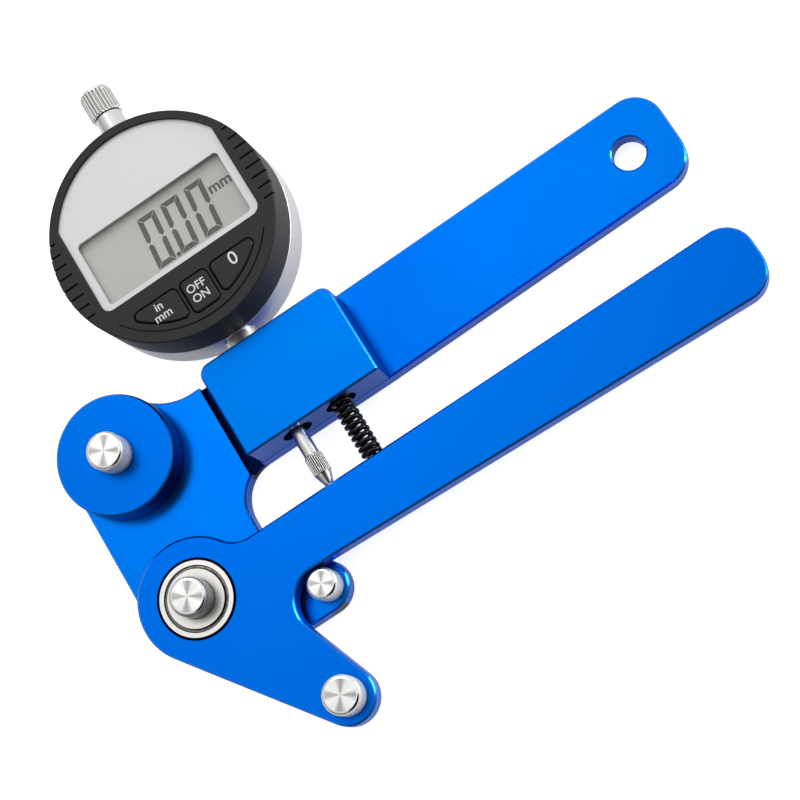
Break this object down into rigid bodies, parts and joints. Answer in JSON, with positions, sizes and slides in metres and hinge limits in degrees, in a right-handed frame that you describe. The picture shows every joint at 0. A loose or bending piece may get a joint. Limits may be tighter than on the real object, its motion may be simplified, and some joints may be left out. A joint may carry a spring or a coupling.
{
  "type": "spoke tension meter",
  "caption": "Plier-like spoke tension meter: a fixed plate and a sprung arm with steel posts, and a digital indicator clamped in a block that reads the arm's position.",
  "frame": {"origin": "middle of the footprint, on the flat back of the fixed plate, which the tool lies on", "axes": "+X runs along the fixed handle towards the hanging hole, +Y runs along the indicator's plunger from the arm towards the lifting cap, +Z points out of the display. The pivot axis is parallel to Z at X -72.1 mm, Y -40.65 mm; the dial's axis is at X -29.7 mm, Y 39.55 mm; the plunger lies at Z 10.5 mm"},
  "size_m": [0.1752, 0.1764, 0.028],
  "materials": {
    "blue_anodised": "bright blue anodised over a fine blast, satin",
    "turned_steel": "turned steel, bright, fine rings from the tool",
    "black_screws": "black oxide steel, slightly oily",
    "bearing_steel": "ground bearing steel, bright",
    "bearing_seal": "pressed steel sheet, dull",
    "black_spring": "blackened spring wire",
    "bright_spring": "plain steel spring wire",
    "ground_steel": "ground steel, bright satin",
    "plated_knurl": "knurled and plated steel",
    "case_metal": "grey metal, satin",
    "black_plastic": "moulded dark grey plastic, fine grain",
    "face_silver": "pale silver foil on a thin plate, matt",
    "window": "clear moulded window",
    "lcd": "grey-green display glass",
    "rubber_strip": "striped conductive rubber strip",
    "board_green": "green circuit board",
    "dome_steel": "pressed spring-steel domes",
    "grey_plastic": "moulded mid grey plastic",
    "cell_steel": "nickel-plated coin cell",
    "film": "amber flexible film",
    "carriage_plastic": "filled black plastic"
  },
  "bodies": {
    "plate": {"fixed_plate": "blue_anodised", "gauge_block": "blue_anodised", "block_screws": "black_screws", "stem_clamp_screw": "black_screws", "spacer_disc": "blue_anodised", "disc_post": "turned_steel", "disc_screw": "black_screws", "stop_post": "turned_steel", "stop_screw": "black_screws", "pivot_post": "turned_steel", "pivot_spacer": "turned_steel", "pivot_screw": "black_screws", "bearing_inner_ring": "bearing_steel", "stem": "ground_steel", "upper_sleeve": "ground_steel", "rear_case": "case_metal", "back_cover": "case_metal", "cover_screws": "ground_steel", "sensor_board": "board_green", "guide_rod": "ground_steel", "snap_ring": "ground_steel", "return_spring": "black_spring", "plunger_spring": "bright_spring", "ribbon_cable": "film"},
    "arm": {"moving_arm": "blue_anodised", "bearing_outer_ring": "bearing_steel", "bearing_shields": "bearing_seal", "arm_post": "turned_steel", "arm_post_screw": "black_screws", "spring_pin": "turned_steel"},
    "ball_set": {"bearing_balls": "bearing_steel", "bearing_cage": "bearing_seal"},
    "plunger": {"spindle": "ground_steel", "contact_point": "plated_knurl", "lifting_cap": "plated_knurl", "scale_carriage": "carriage_plastic", "scale_strip": "board_green"},
    "display_head": {"front_case": "black_plastic", "face_plate": "face_silver", "display_window": "window", "lcd_panel": "lcd", "lcd_connector": "rubber_strip", "circuit_board": "board_green", "key_domes": "dome_steel", "battery_holder": "black_plastic", "battery": "cell_steel"},
    "unit_button": {"unit_key": "grey_plastic"},
    "power_button": {"power_key": "grey_plastic"},
    "zero_button": {"zero_key": "grey_plastic"}
  },
  "joints": [
    {"name": "arm_pivot", "type": "hinge", "parent": "plate", "child": "arm", "pos_m": [-0.0721, -0.04065, 0.0102], "axis": [0, 0, 1], "range_deg": [0, 6], "stiffness_Nm_per_rad": 50, "springref_deg": -2.06, "deforming": ["return_spring"]},
    {"name": "ball_roll", "type": "hinge", "parent": "plate", "child": "ball_set", "pos_m": [-0.0721, -0.04065, 0.0102], "axis": [0, 0, 1], "range_deg": [0, 3.65]},
    {"name": "plunger_slide", "type": "slide", "parent": "plate", "child": "plunger", "axis": [0, 1, 0], "range_m": [0, 0.0045], "deforming": ["plunger_spring"]},
    {"name": "head_turn", "type": "hinge", "parent": "plate", "child": "display_head", "pos_m": [-0.0297, 0.03955, 0.02], "axis": [0, 0, 1], "range_deg": [-135, 135], "deforming": ["ribbon_cable"]},
    {"name": "unit_press", "type": "slide", "parent": "display_head", "child": "unit_button", "axis": [0, 0, -1], "range_m": [0, 0.0005], "stiffness_N_per_m": 600},
    {"name": "power_press", "type": "slide", "parent": "display_head", "child": "power_button", "axis": [0, 0, -1], "range_m": [0, 0.0005], "stiffness_N_per_m": 600},
    {"name": "zero_press", "type": "slide", "parent": "display_head", "child": "zero_button", "axis": [0, 0, -1], "range_m": [0, 0.0005], "stiffness_N_per_m": 600}
  ],
  "couplings": [
    {"joint": "plunger_slide", "follows": "arm_pivot", "m_per_rad": 0.0429},
    {"joint": "ball_roll", "follows": "arm_pivot", "ratio": 0.6}
  ]
}
